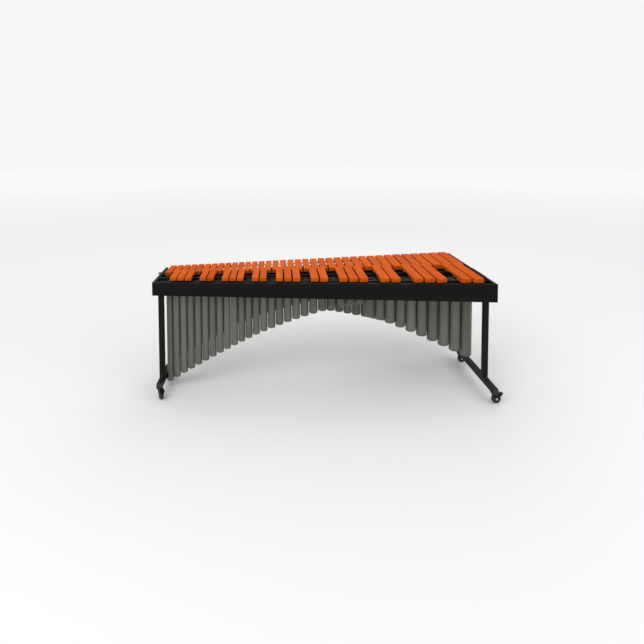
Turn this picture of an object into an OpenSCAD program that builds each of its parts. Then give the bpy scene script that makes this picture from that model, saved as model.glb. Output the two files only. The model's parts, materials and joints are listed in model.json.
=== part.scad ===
// Five-octave concert marimba: wooden bars on cords, tube resonators in an arch,
// a tapered black frame and two wheeled end stands of adjustable height.
// X runs from the treble end (-X) to the bass end (+X), -Y is the audience side,
// +Z is up. The origin is on the floor, at the middle of the whole instrument.
// All sizes are in millimetres.

/* [Frame] */
// Length of the frame over both end panels
frame_l = 2700; // [2650:10:2750]
// Depth of the frame at the bass end
frame_w_bass = 1060; // [1020:10:1100]
// Depth of the frame at the treble end
frame_w_treble = 460; // [440:10:480]
// Height of the frame's top edge above the floor, at the lowest setting
frame_top = 910; // [900:2:920]
// Height of the front apron at the bass end
apron_h_bass = 144; // [136:2:150]
// Height of the front apron at the treble end
apron_h_treble = 105; // [100:1:112]
// Thickness of the front apron
apron_t = 20; // [16:1:22]
// Thickness of each end panel
panel_t = 22; // [18:1:24]
// Width of each bar rail
rail_w = 20; // [16:1:22]

/* [Bars] */
// Number of natural bars, C to C over five octaves
naturals = 36; // [36]
// Spacing of the natural bars at the treble end
treble_pitch = 59; // [58:0.5:60]
// Number of treble bars that share the treble spacing
even_bars = 11; // [10:1:13]
// Width of a bar as a share of the spacing
bar_share = 0.81; // [0.80:0.01:0.86]
// Thickness of the bars at the treble end
bar_t_treble = 29; // [26:1:30]
// Thickness of the bars at the bass end
bar_t_bass = 36; // [33:1:36]
// Height of the natural bars above the frame's top edge
natural_rise = 15; // [10:1:17]
// Height of the accidental bars above the natural bars
accidental_rise = 22; // [20:1:24]
// Gap from the treble end of the frame to the first natural bar's space
treble_margin = 42; // [38:1:46]
// Gap from the bass end of the frame to the last natural bar's space
bass_margin = 36; // [28:1:40]
// Share of a bar's length from its end to its still point, where the cord runs
node_share = 0.224; // [0.220:0.001:0.228]
// Diameter of the bar cord
cord_d = 4; // [3:0.5:4]
// Diameter of the cord holes in the bars
cord_hole_d = 6.5; // [6:0.5:7]

/* [Resonators] */
// Diameter of a resonator tube as a share of the spacing
tube_share = 0.96; // [0.90:0.01:0.96]
// Diameter of the first treble tube, which stands beside the post
first_tube_share = 0.83; // [0.80:0.01:0.84]
// Wall thickness of the tubes
tube_wall = 2; // [1.5:0.1:2.5]
// Lowest tube end of the front treble bank
front_low = 56; // [45:1:80]
// Highest tube end of the front treble bank, in the middle of the arch
front_peak = 684; // [680:2:700]
// Number of tubes in the front treble bank
front_treble_count = 25; // [24:1:25]
// Highest tube end of the front bass bank
front_bass_peak = 568; // [540:1:580]
// Lowest tube end of the front bass bank
front_bass_low = 225; // [200:1:260]
// Lowest tube end of the rear treble bank
rear_low = 130; // [110:5:180]
// Highest tube end of the rear treble bank
rear_peak = 590; // [560:5:620]
// Number of tubes in the rear treble bank
rear_treble_count = 21; // [20:1:21]
// Highest tube end of the rear bass bank
rear_bass_peak = 497; // [480:1:510]
// Lowest tube end of the rear bass bank
rear_bass_low = 190; // [180:5:240]
// Bulge of the arch on the treble side
treble_bulge = 1.33; // [1.2:0.01:1.4]
// Bulge of the arch on the bass side
bass_bulge = 1.25; // [1.0:0.05:1.3]
// How far a resonator bank can be lifted for tuning
bank_lift = 15; // [10:1:15]

/* [Stands] */
// How far the telescopic posts extend
height_travel = 120; // [80:10:150]
// Width of the bass posts, along the frame
bass_post_w = 43; // [38:1:44]
// Width of the treble post, along the frame
treble_post_w = 40; // [38:1:44]
// Depth of the posts, across the frame
post_d = 36; // [34:1:38]
// Wall thickness of the posts and foot bars
post_wall = 3; // [2.5:0.5:3]
// Width and height of the square foot bars
foot_w = 42; // [40:1:44]
// Height of the foot bars' underside above the floor
foot_z = 85; // [85:1:88]

/* [Casters] */
// Radius of the wheels
wheel_r = 36; // [34:1:36]
// Width of the wheels
wheel_w = 24; // [22:1:26]
// Distance from the swivel axis to the wheel's axle
trail = 20; // [16:1:22]
// Play around every turning pin
fit_gap = 0.06; // [0.03:0.01:0.10]

/* [Hidden] */

$fn = 48;
eps = 1;
wood = [0.85, 0.38, 0.05];
grey = [0.40, 0.39, 0.36];
black = [0.10, 0.10, 0.09];
steel = [0.62, 0.63, 0.64];
rubber = [0.05, 0.05, 0.05];
cord_colour = [0.13, 0.14, 0.15];

half_l = frame_l / 2;
panel_in = half_l - panel_t;

// Heights
natural_top = frame_top + natural_rise;
accidental_top = natural_top + accidental_rise;
cord_drop = 20;
bar_clear = 11;
rail_bottom = frame_top - 75;
natural_rail_top = natural_top - bar_t_bass - bar_clear;
accidental_rail_top = accidental_top - bar_t_bass - bar_clear;
tube_clear = bank_lift + 13;
natural_tube_top = natural_top - bar_t_bass - tube_clear;
accidental_tube_top = accidental_top - bar_t_bass - tube_clear;
bolt_z = rail_bottom + 17;

// Lines across the keyboard, each as the y at the treble end and at the bass end
front_line = [-frame_w_treble / 2, -frame_w_bass / 2];
back_line = [frame_w_treble / 2, frame_w_bass / 2];
accidental_front = front_line + [30, 30];
accidental_rear = [-8, 4];
natural_front = [11, 50];
natural_rear = back_line - [3, 3];
acc_front_node = accidental_front + node_share * (accidental_rear - accidental_front);
acc_rear_node = accidental_rear - node_share * (accidental_rear - accidental_front);
nat_front_node = natural_front + node_share * (natural_rear - natural_front);
nat_rear_node = natural_rear - node_share * (natural_rear - natural_front);
accidental_mid = (accidental_front + accidental_rear) / 2;
natural_mid = (natural_front + natural_rear) / 2;
function at(line, x) = line[0] + (line[1] - line[0]) * (x + half_l) / frame_l;

// Spacing of the keys: even over the treble bars, then wider bar by bar
keys_l = frame_l - treble_margin - bass_margin;
growing = naturals - 1 - even_bars;
pitch_step = (keys_l - naturals * treble_pitch) * 2 / (growing * (growing + 1));
function grown(n) = max(0, n - even_bars);
function pitch(i) = treble_pitch + pitch_step * grown(i);
function key_x(n) = treble_margin - half_l + n * treble_pitch
    + pitch_step * grown(n) * (grown(n) - 1) / 2;
function natural_x(i) = (key_x(i) + key_x(i + 1)) / 2;
function gap_pitch(k) = (pitch(k - 1) + pitch(k)) / 2;
function is_sharp(k) = let (m = k % 7) m != 1 && m != 5;
function bar_t(x) = at([bar_t_treble, bar_t_bass], x);

// Resonators: the front bank has a tube at every joint between natural bars
front_n = naturals - 1;
function front_end(k) = k <= front_treble_count
    ? front_peak - (front_peak - front_low)
        * pow((front_treble_count - k) / (front_treble_count - 1), treble_bulge)
    : front_bass_peak - (front_bass_peak - front_bass_low)
        * pow((k - front_treble_count - 1) / (front_n - front_treble_count - 1), bass_bulge);
function rear_end(i) = i < rear_treble_count
    ? rear_peak - (rear_peak - rear_low)
        * pow((rear_treble_count - 1 - i) / (rear_treble_count - 1), treble_bulge)
    : rear_bass_peak - (rear_bass_peak - rear_bass_low)
        * pow((i - rear_treble_count) / (naturals - 1 - rear_treble_count), bass_bulge);
first_tube_shift = 5;
function front_tube_x(k) = key_x(k) + (k == 1 ? first_tube_shift : 0);
function front_tube_r(k) = gap_pitch(k) * (k == 1 ? first_tube_share : tube_share) / 2;
function rear_tube_r(i) = pitch(i) * tube_share / 2;
cap_edge = 8;
cap_lip = 2 * cap_edge;
cap_plug = 20;
strip_z = 788;
strip_h = 26;
strip_t = 3;
strip_gap = 0.3;
hanger_w = 20;
hanger_t = 3;
pad_t = 1.2;

// Stands
foot_top = foot_z + foot_w;
bass_post_x = half_l - 51;
treble_post_x = -half_l + 60;
bass_front_post_y = -425;
bass_rear_post_y = 62;
treble_post_y = -190;
bass_foot = [-632, 128];
treble_foot = [-305, 36];
bass_kingpin = [-590, 96];
treble_kingpin = [-272, 4];
post_gap = 0.4;
post_overlap = 300;
bass_post_top = frame_top - apron_h_bass - 9;
treble_post_top = frame_top - apron_h_treble - 9;
collar_h = 28;
collar_w = 4;
knob_r = 17;
screw_r = 4;

// Casters
axle_r = 5;
stem_r = 6;
stem_l = 30;
plate_t = 3;
plate_gap = 2;
crown_z = wheel_r * 2 + 4;
crown_h = 5;
brake_pin = [-trail - 26, crown_z - 4];
brake_pin_r = 2.5;
pedal_reach = 27;

// Moves the keyboard back so that the foot bars and the frame share one centre
reach_front = -bass_foot[0];
reach_rear = frame_w_bass / 2;
frame_shift = (reach_front - reach_rear) / 2;
module placed() { translate([0, frame_shift, 0]) children(); }

// ---------------------------------------------------------------- bars

// A rod of radius r along a line of the keyboard, at height z
module along(line, z, r, x0, x1) {
    turn = atan((line[1] - line[0]) / frame_l);
    translate([x0, at(line, x0), z])
        rotate([0, 90, turn])
            cylinder(r = r, h = (x1 - x0) / cos(turn));
}

// One bar: a plank with its underside hollowed in an arch to tune it
module bar(x, w, y0, y1, top) {
    t = bar_t(x);
    depth = t * 0.42;
    chord = (y1 - y0) * 0.48;
    arch_r = (chord * chord / 4 + depth * depth) / (2 * depth);
    difference() {
        translate([x - w / 2, y0, top - t]) cube([w, y1 - y0, t]);
        translate([x - w / 2 - eps, (y0 + y1) / 2, top - t + depth - arch_r])
            rotate([0, 90, 0])
                cylinder(r = arch_r, h = w + 2 * eps, $fn = 96);
    }
}

module cord_holes(line_a, line_b, top) {
    for (line = [line_a, line_b])
        along(line, top - cord_drop, cord_hole_d / 2, -half_l, half_l);
}

// Natural bars of one octave, counted from the treble end
module natural_bars(first, last) {
    color(wood) placed() difference() {
        for (i = [first : last])
            bar(natural_x(i), pitch(i) * bar_share, at(natural_front, natural_x(i)),
                at(natural_rear, natural_x(i)), natural_top);
        cord_holes(nat_front_node, nat_rear_node, natural_top);
    }
}

// Accidental bars over the joints first..last between natural bars
module accidental_bars(first, last) {
    color(wood) placed() difference() {
        for (k = [first : last])
            if (is_sharp(k))
                bar(key_x(k), gap_pitch(k) * bar_share, at(accidental_front, key_x(k)),
                    at(accidental_rear, key_x(k)), accidental_top);
        cord_holes(acc_front_node, acc_rear_node, accidental_top);
    }
}

module natural_bars_1() { natural_bars(29, 35); }
module natural_bars_2() { natural_bars(22, 28); }
module natural_bars_3() { natural_bars(15, 21); }
module natural_bars_4() { natural_bars(8, 14); }
module natural_bars_5() { natural_bars(0, 7); }
module accidental_bars_1() { accidental_bars(29, 35); }
module accidental_bars_2() { accidental_bars(22, 28); }
module accidental_bars_3() { accidental_bars(15, 21); }
module accidental_bars_4() { accidental_bars(8, 14); }
module accidental_bars_5() { accidental_bars(1, 7); }

// ---------------------------------------------------------------- cords

cord_turn_x = panel_in - 4;
cord_eye_r = cord_d / 2 + 1;

// A closed loop of cord along two rails, thicker where it turns round an eye
module cord_loop(line_a, line_b, z) {
    r = cord_d / 2;
    for (line = [line_a, line_b]) {
        along(line, z, r, -cord_turn_x, cord_turn_x);
        for (x = [-cord_turn_x, cord_turn_x])
            translate([x, at(line, x), z]) rotate([0, 0, 45]) sphere(r = cord_eye_r);
    }
    for (x = [-cord_turn_x, cord_turn_x])
        translate([x, at(line_a, x), z])
            rotate([-90, 0, 0])
                cylinder(r = r, h = at(line_b, x) - at(line_a, x));
}

// The natural cord has a tail through the treble end panel, to its tie peg
module natural_cord() {
    color(cord_colour) placed() {
        cord_loop(nat_front_node, nat_rear_node, natural_top - cord_drop);
        translate([-half_l, at(nat_front_node, -cord_turn_x), natural_top - cord_drop])
            rotate([0, 90, 0])
                cylinder(d = cord_d, h = half_l - cord_turn_x);
    }
}

module accidental_cord() {
    color(cord_colour) placed()
        cord_loop(acc_front_node, acc_rear_node, accidental_top - cord_drop);
}

// A flat post with a forked top that carries the cord beside a bar
module cord_post(x, line, rail_top, z) {
    post_t = 3;
    post_w = 12;
    slot_w = cord_d + 1.4;
    translate([x, at(line, x), 0]) difference() {
        translate([-post_t / 2, -post_w / 2, rail_top])
            cube([post_t, post_w, z + 6 - rail_top]);
        translate([-post_t, 0, z]) rotate([0, 90, 0]) cylinder(d = slot_w, h = 2 * post_t);
        translate([-post_t, -slot_w / 2, z]) cube([2 * post_t, slot_w, 10]);
    }
}

end_post_x = [key_x(0) - 3, key_x(naturals) - 4];

module natural_cord_posts() {
    color(black) placed()
        for (line = [nat_front_node, nat_rear_node]) {
            for (k = [1 : naturals - 1])
                cord_post(key_x(k), line, natural_rail_top, natural_top - cord_drop);
            for (x = end_post_x)
                cord_post(x, line, natural_rail_top, natural_top - cord_drop);
        }
}

module accidental_cord_posts() {
    color(black) placed()
        for (line = [acc_front_node, acc_rear_node], i = [1 : naturals - 1])
            cord_post(natural_x(i), line, accidental_rail_top, accidental_top - cord_drop);
}

// A headed peg on the outer face of the treble end panel, where the cord is tied off
peg_l = 22;
peg_head = 5;

module cord_tie_peg() {
    color(steel) placed()
        translate([-half_l, at(nat_front_node, -cord_turn_x), natural_top - cord_drop])
            rotate([0, -90, 0]) {
                cylinder(r = 4, h = peg_l);
                translate([0, 0, peg_l - peg_head]) cylinder(r = 8, h = peg_head);
            }
}

// ---------------------------------------------------------------- frame

// A straight beam along a line of the keyboard, between the two end panels
module beam(line, w, z0, z1) {
    translate([0, 0, z0]) linear_extrude(z1 - z0)
        polygon([[-panel_in, at(line, -panel_in) - w / 2],
            [panel_in, at(line, panel_in) - w / 2],
            [panel_in, at(line, panel_in) + w / 2],
            [-panel_in, at(line, -panel_in) + w / 2]]);
}

bolt_r = 4;
bolt_l = 62;
bolt_head_r = 8;
bolt_head_h = 3.5;
all_nodes = [acc_front_node, acc_rear_node, nat_front_node, nat_rear_node];

// A rod for every rail bolt, or for the hole that it goes through
module bolt_rods(r, line) {
    for (side = [-1, 1])
        translate([side * half_l, at(line, side * panel_in), bolt_z])
            rotate([0, -side * 90, 0])
                cylinder(r = r, h = bolt_l);
}

module rail(line, top) {
    color(black) placed() difference() {
        beam(line, rail_w, rail_bottom, top);
        bolt_rods(bolt_r + 0.3, line);
    }
}

module accidental_front_rail() { rail(acc_front_node, accidental_rail_top); }
module accidental_rear_rail() { rail(acc_rear_node, accidental_rail_top); }
module natural_front_rail() { rail(nat_front_node, natural_rail_top); }
module natural_rear_rail() { rail(nat_rear_node, natural_rail_top); }

// The deep front board, level on top and tapered below
module front_apron() {
    color(black) placed() intersection() {
        linear_extrude(frame_top)
            polygon([[-half_l, front_line[0]], [half_l, front_line[1]],
                [half_l, front_line[1] + apron_t], [-half_l, front_line[0] + apron_t]]);
        translate([0, frame_w_bass, 0]) rotate([90, 0, 0]) linear_extrude(2 * frame_w_bass)
            polygon([[-half_l, frame_top - apron_h_treble], [half_l, frame_top - apron_h_bass],
                [half_l, frame_top], [-half_l, frame_top]]);
    }
}

// An end panel, its front edge butted against the apron
module end_panel(side, h) {
    x0 = side * panel_in;
    x1 = side * half_l;
    color(black) placed() difference() {
        translate([0, 0, frame_top - h]) linear_extrude(h)
            polygon([[x0, at(front_line, x0) + apron_t], [x1, at(front_line, x1) + apron_t],
                [x1, at(back_line, x1)], [x0, at(back_line, x0)]]);
        for (line = all_nodes)
            bolt_rods(bolt_r + 0.3, line);
        if (side < 0)
            translate([-half_l - eps, at(nat_front_node, -cord_turn_x), natural_top - cord_drop])
                rotate([0, 90, 0])
                    cylinder(r = cord_d / 2 + 1, h = panel_t + 2 * eps);
    }
}

module treble_end_panel() { end_panel(-1, apron_h_treble); }
module bass_end_panel() { end_panel(1, apron_h_bass); }

brace_z = rail_bottom + 6;
brace_h = 26;
brace_t = 12;
strap_w = 24;
strap_t = 5;

// A brace between the two rows' inner rails, at x
module brace(x, line_a, line_b) {
    x0 = x - brace_t / 2;
    x1 = x + brace_t / 2;
    translate([0, 0, brace_z]) linear_extrude(brace_h)
        polygon([[x0, at(line_a, x0) + rail_w / 2], [x1, at(line_a, x1) + rail_w / 2],
            [x1, at(line_b, x1) - rail_w / 2], [x0, at(line_b, x0) - rail_w / 2]]);
}

// A flat strap across the tops of one row's two rails, over the tubes, at x
module strap(x, line_a, line_b, top) {
    x0 = x - strap_w / 2;
    x1 = x + strap_w / 2;
    translate([0, 0, top]) linear_extrude(strap_t)
        polygon([[x0, at(line_a, x0) - rail_w / 2], [x1, at(line_a, x1) - rail_w / 2],
            [x1, at(line_b, x1) + rail_w / 2], [x0, at(line_b, x0) + rail_w / 2]]);
}

module cross_braces() {
    color(black) placed() {
        for (k = [9, rear_treble_count])
            strap(key_x(k), acc_front_node, acc_rear_node, accidental_rail_top);
        for (i = [9, front_treble_count])
            strap(natural_x(i), nat_front_node, nat_rear_node, natural_rail_top);
        for (k = [5, 15, 21, 29])
            brace(key_x(k), acc_rear_node, nat_front_node);
    }
}

module rail_bolts() {
    color(steel) placed() for (line = all_nodes) {
        bolt_rods(bolt_r, line);
        for (side = [-1, 1])
            translate([side * half_l, at(line, side * panel_in), bolt_z])
                rotate([0, side * 90, 0])
                    cylinder(r = bolt_head_r, h = bolt_head_h);
    }
}

// ---------------------------------------------------------------- resonators

// A hook of strap metal, from the inner face of a rail to under a bank's strip
module hanger(x, y_rail, y_strip, dir) {
    reach = abs(y_strip - y_rail);
    translate([x - hanger_w / 2, y_rail, 0]) {
        translate([0, dir > 0 ? 0 : -hanger_t, strip_z - hanger_t])
            cube([hanger_w, hanger_t, rail_bottom + 20 - strip_z + hanger_t]);
        translate([0, dir > 0 ? 0 : -reach, strip_z - hanger_t])
            cube([hanger_w, reach, hanger_t]);
    }
}

// Four hangers carry one bank, two near each end
module bank_hangers(xs, rs, line_a, line_b, mid) {
    for (n = [0 : len(xs) - 1]) {
        strip_y = rs[n] + strip_gap;
        hanger(xs[n], at(line_a, xs[n]) + rail_w / 2 + pad_t, at(mid, xs[n]) - strip_y, 1);
        hanger(xs[n], at(line_b, xs[n]) - rail_w / 2 - pad_t, at(mid, xs[n]) + strip_y, -1);
    }
}

front_split = front_treble_count;
rear_split = rear_treble_count;

module resonator_hangers() {
    front_k = [2, front_split - 1, front_split + 2, front_n - 1];
    rear_i = [1, rear_split - 2, rear_split + 1, naturals - 2];
    color(steel) placed() {
        bank_hangers([for (k = front_k) front_tube_x(k)], [for (k = front_k) front_tube_r(k)],
            acc_front_node, acc_rear_node, accidental_mid);
        bank_hangers([for (i = rear_i) natural_x(i)], [for (i = rear_i) rear_tube_r(i)],
            nat_front_node, nat_rear_node, natural_mid);
    }
}

// Open tubes hung at the points p = [x, radius, lower end]
module tubes(points, mid, top) {
    color(grey) placed() for (p = points)
        translate([p[0], at(mid, p[0]), p[2] + cap_lip]) difference() {
            cylinder(r = p[1], h = top - p[2] - cap_lip);
            translate([0, 0, -eps]) cylinder(r = p[1] - tube_wall, h = top + 2 * eps);
        }
}

// A stopper for the lower end of each tube, with a rounded rim
module caps(points, mid) {
    color(grey) placed() for (p = points)
        translate([p[0], at(mid, p[0]), p[2]]) {
            cylinder(r = p[1] - cap_edge, h = cap_lip + cap_plug);
            translate([0, 0, cap_edge]) rotate_extrude()
                translate([p[1] - cap_edge, 0]) circle(r = cap_edge);
            translate([0, 0, cap_edge]) cylinder(r = p[1], h = cap_lip - cap_edge);
            cylinder(r = p[1] - tube_wall - fit_gap, h = cap_lip + cap_plug);
        }
}

// The two long strips that the tubes of one bank are riveted between
module strips(points, mid) {
    n = len(points);
    ends = [points[0], points[n - 1]];
    function edge(p, off, dx) = [p[0] + dx, at(mid, p[0] + dx) + off];
    color(grey) placed() for (side = [-1, 1]) {
        translate([0, 0, strip_z]) linear_extrude(strip_h)
            polygon(concat(
                [edge(ends[0], side * (ends[0][1] + strip_gap), -ends[0][1])],
                [for (p = points) edge(p, side * (p[1] + strip_gap), 0)],
                [edge(ends[1], side * (ends[1][1] + strip_gap), ends[1][1])],
                [edge(ends[1], side * (ends[1][1] + strip_gap + strip_t), ends[1][1])],
                [for (j = [n - 1 : -1 : 0])
                    edge(points[j], side * (points[j][1] + strip_gap + strip_t), 0)],
                [edge(ends[0], side * (ends[0][1] + strip_gap + strip_t), -ends[0][1])]));
    }
}

front_treble = [for (k = [1 : front_split])
    [front_tube_x(k), front_tube_r(k), front_end(k)]];
front_bass = [for (k = [front_split + 1 : front_n])
    [front_tube_x(k), front_tube_r(k), front_end(k)]];
rear_treble = [for (i = [0 : rear_split - 1]) [natural_x(i), rear_tube_r(i), rear_end(i)]];
rear_bass = [for (i = [rear_split : naturals - 1]) [natural_x(i), rear_tube_r(i), rear_end(i)]];

module front_treble_tubes() { tubes(front_treble, accidental_mid, accidental_tube_top); }
module front_treble_caps() { caps(front_treble, accidental_mid); }
module front_treble_strips() { strips(front_treble, accidental_mid); }
module front_bass_tubes() { tubes(front_bass, accidental_mid, accidental_tube_top); }
module front_bass_caps() { caps(front_bass, accidental_mid); }
module front_bass_strips() { strips(front_bass, accidental_mid); }
module rear_treble_tubes() { tubes(rear_treble, natural_mid, natural_tube_top); }
module rear_treble_caps() { caps(rear_treble, natural_mid); }
module rear_treble_strips() { strips(rear_treble, natural_mid); }
module rear_bass_tubes() { tubes(rear_bass, natural_mid, natural_tube_top); }
module rear_bass_caps() { caps(rear_bass, natural_mid); }
module rear_bass_strips() { strips(rear_bass, natural_mid); }

// ---------------------------------------------------------------- stands

socket_r = 13;
socket_h = foot_w - post_wall;
plug_t = 6;

// A square tube along Y, plugged at both ends, with a socket for each kingpin
module foot_bar(x, ends, kingpins) {
    l = ends[1] - ends[0];
    inner = foot_w - 2 * post_wall;
    color(black) placed() difference() {
        union() {
            difference() {
                translate([x - foot_w / 2, ends[0], foot_z]) cube([foot_w, l, foot_w]);
                translate([x - inner / 2, ends[0] + plug_t, foot_z + post_wall])
                    cube([inner, l - 2 * plug_t, inner]);
            }
            for (y = kingpins)
                translate([x, y, foot_z]) cylinder(r = socket_r, h = socket_h);
        }
        for (y = kingpins)
            translate([x, y, foot_z - eps]) cylinder(r = stem_r + fit_gap, h = stem_l + 2);
    }
}

module bass_foot_bar() { foot_bar(bass_post_x, bass_foot, bass_kingpin); }
module treble_foot_bar() { foot_bar(treble_post_x, treble_foot, treble_kingpin); }

// A curved web that joins the foot of a post to the foot bar, on the audience side
module post_web(w) {
    web = 44;
    difference() {
        translate([-w / 2, -post_d / 2 - web, 0]) cube([w, web, web]);
        translate([-w / 2 - eps, -post_d / 2 - web, web])
            rotate([0, 90, 0]) cylinder(r = web - 2, h = w + 2 * eps);
    }
}

// An outer post: a rectangular tube with a clamp collar at its top
module outer_post(x, y, w, top, web) {
    h = top - foot_top;
    color(black) placed() translate([x, y, foot_top]) {
        difference() {
            union() {
                translate([-w / 2, -post_d / 2, 0]) cube([w, post_d, h]);
                translate([-w / 2, -post_d / 2, h - collar_h])
                    cube([w, post_d + collar_w, collar_h]);
            }
            translate([-w / 2 + post_wall, -post_d / 2 + post_wall, post_wall])
                cube([w - 2 * post_wall, post_d - 2 * post_wall, h]);
            translate([0, 0, h - collar_h / 2]) rotate([-90, 0, 0])
                cylinder(r = screw_r + fit_gap, h = post_d);
        }
        if (web) post_web(24);
    }
}

module bass_front_post() {
    outer_post(bass_post_x, bass_front_post_y, bass_post_w, bass_post_top, true);
}
module bass_rear_post() {
    outer_post(bass_post_x, bass_rear_post_y, bass_post_w, bass_post_top, false);
}
module treble_post() {
    outer_post(treble_post_x, treble_post_y, treble_post_w, treble_post_top, true);
}

// An inner post, with a block at its head that is bolted to the end panel
module inner_post(x, y, w, side, panel_bottom, top) {
    iw = w - 2 * post_wall - 2 * post_gap;
    id = post_d - 2 * post_wall - 2 * post_gap;
    bottom = panel_bottom - height_travel - post_overlap;
    head_z = panel_bottom + 2;
    color(steel) placed() translate([x, y, 0]) {
        difference() {
            translate([-iw / 2, -id / 2, bottom]) cube([iw, id, top - bottom]);
            translate([-iw / 2 + 2, -id / 2 + 2, bottom - eps])
                cube([iw - 4, id - 4, head_z - bottom]);
        }
        head_l = side * (side * panel_in - x);
        translate([side > 0 ? 0 : -head_l, -id / 2, head_z])
            cube([head_l, id, rail_bottom - head_z]);
    }
}

module bass_front_inner_post() {
    inner_post(bass_post_x, bass_front_post_y, bass_post_w, 1,
        frame_top - apron_h_bass, rail_bottom + 20);
}
module bass_rear_inner_post() {
    inner_post(bass_post_x, bass_rear_post_y, bass_post_w, 1,
        frame_top - apron_h_bass, rail_bottom + 20);
}
module treble_inner_post() {
    inner_post(treble_post_x, treble_post_y, treble_post_w, -1,
        frame_top - apron_h_treble, rail_bottom);
}

// A lobed hand knob on a screw that clamps the inner post
module clamp_knob(x, y, top) {
    outer = post_d / 2 + collar_w;
    id = post_d / 2 - post_wall - post_gap;
    color(black) placed() translate([x, y, top - collar_h / 2]) rotate([-90, 0, 0]) {
        translate([0, 0, id + 0.3]) cylinder(r = screw_r, h = outer - id + 4);
        translate([0, 0, outer + 1]) cylinder(r = 9, h = 8);
        translate([0, 0, outer + 8]) {
            cylinder(r = knob_r - 5, h = 12);
            for (a = [0 : 72 : 288])
                rotate([0, 0, a]) translate([knob_r - 6, 0, 0]) cylinder(r = 6, h = 12);
        }
    }
}

module bass_front_knob() { clamp_knob(bass_post_x, bass_front_post_y, bass_post_top); }
module bass_rear_knob() { clamp_knob(bass_post_x, bass_rear_post_y, bass_post_top); }
module treble_knob() { clamp_knob(treble_post_x, treble_post_y, treble_post_top); }

// ---------------------------------------------------------------- casters

// Each caster is drawn with its wheel trailing along -X, then turned
bass_front_turn = 180;
bass_rear_turn = 180;
treble_front_turn = 120;
treble_rear_turn = -90;
module caster_at(x, y, turn) {
    placed() translate([x, y, 0]) rotate([0, 0, turn]) children();
}

// The fork: stem, crown, two cheeks and the fixed axle
module caster_fork() {
    cheek_y = wheel_w / 2 + plate_gap;
    color(black) {
        difference() {
            union() {
                translate([0, 0, crown_z]) cylinder(r = stem_r, h = foot_z + stem_l - crown_z);
                translate([0, 0, crown_z + crown_h]) cylinder(r = 14, h = foot_z - crown_z - crown_h - 0.5);
                translate([0, 0, crown_z]) cylinder(r = 20, h = crown_h);
                for (s = [-1, 1])
                    translate([0, s * (cheek_y + plate_t / 2) + plate_t / 2, 0])
                        rotate([90, 0, 0]) linear_extrude(plate_t) {
                            translate([-trail, wheel_r]) circle(r = 12);
                            polygon([[-trail - 12, wheel_r], [-trail + 12, wheel_r],
                                [18, crown_z], [18, crown_z + crown_h],
                                [-trail - 32, crown_z + crown_h], [-trail - 32, crown_z - 12]]);
                        }
                translate([-trail - 8, -cheek_y - plate_t, crown_z])
                    cube([26 + trail, 2 * (cheek_y + plate_t), crown_h]);
            }
            translate([brake_pin[0], 0, brake_pin[1]]) rotate([90, 0, 0])
                cylinder(r = brake_pin_r + fit_gap, h = 100, center = true);
        }
        translate([-trail, 0, wheel_r]) rotate([90, 0, 0])
            cylinder(r = axle_r, h = 2 * (cheek_y + plate_t) + 4, center = true);
    }
}

// The wheel: a rubber tyre with a rounded tread on a recessed hub
module caster_wheel() {
    tread = 5;
    color(rubber) translate([-trail, 0, wheel_r]) rotate([90, 0, 0]) difference() {
        union() {
            cylinder(r = wheel_r, h = wheel_w - 2 * tread, center = true);
            for (s = [-1, 1])
                translate([0, 0, s * (wheel_w / 2 - tread)])
                    rotate_extrude() translate([wheel_r - tread, 0]) circle(r = tread);
            cylinder(r = wheel_r - tread, h = wheel_w, center = true);
            cylinder(r = 11, h = wheel_w + 2, center = true);
        }
        cylinder(r = axle_r + fit_gap, h = wheel_w + 4, center = true);
        for (s = [-1, 1])
            translate([0, 0, s * (wheel_w / 2 + 1)]) difference() {
                cylinder(r = 23, h = 8, center = true);
                cylinder(r = 11, h = 10, center = true);
            }
    }
}

// The brake: a pedal on a pin between the cheeks, with a shoe just clear of the tyre
module caster_brake() {
    w = wheel_w + 2 * plate_gap - 1;
    shoe = [8, w - 4, 18];
    pedal = [8, w + 6, 4];
    color(black) translate([brake_pin[0], 0, brake_pin[1]]) {
        rotate([90, 0, 0]) cylinder(r = brake_pin_r, h = w + 2 * plate_t + 1, center = true);
        rotate([90, 0, 0]) cylinder(r = brake_pin_r + 1.5, h = w, center = true);
        translate([eps - pedal_reach, -w / 2, 0]) cube([pedal_reach - eps, w, 3]);
        translate([-10 - shoe[0], -shoe[1] / 2, -shoe[2]]) cube([shoe[0], shoe[1], shoe[2] + 1]);
        translate([-pedal_reach, -pedal[1] / 2, 0]) cube(pedal);
    }
}

module bass_front_fork() {
    caster_at(bass_post_x, bass_kingpin[0], bass_front_turn) caster_fork();
}
module bass_front_wheel() {
    caster_at(bass_post_x, bass_kingpin[0], bass_front_turn) caster_wheel();
}
module bass_front_brake() {
    caster_at(bass_post_x, bass_kingpin[0], bass_front_turn) caster_brake();
}
module bass_rear_fork() {
    caster_at(bass_post_x, bass_kingpin[1], bass_rear_turn) caster_fork();
}
module bass_rear_wheel() {
    caster_at(bass_post_x, bass_kingpin[1], bass_rear_turn) caster_wheel();
}
module bass_rear_brake() {
    caster_at(bass_post_x, bass_kingpin[1], bass_rear_turn) caster_brake();
}
module treble_front_fork() {
    caster_at(treble_post_x, treble_kingpin[0], treble_front_turn) caster_fork();
}
module treble_front_wheel() {
    caster_at(treble_post_x, treble_kingpin[0], treble_front_turn) caster_wheel();
}
module treble_front_brake() {
    caster_at(treble_post_x, treble_kingpin[0], treble_front_turn) caster_brake();
}
module treble_rear_fork() {
    caster_at(treble_post_x, treble_kingpin[1], treble_rear_turn) caster_fork();
}
module treble_rear_wheel() {
    caster_at(treble_post_x, treble_kingpin[1], treble_rear_turn) caster_wheel();
}
module treble_rear_brake() {
    caster_at(treble_post_x, treble_kingpin[1], treble_rear_turn) caster_brake();
}

// ---------------------------------------------------------------- the assembly

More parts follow.
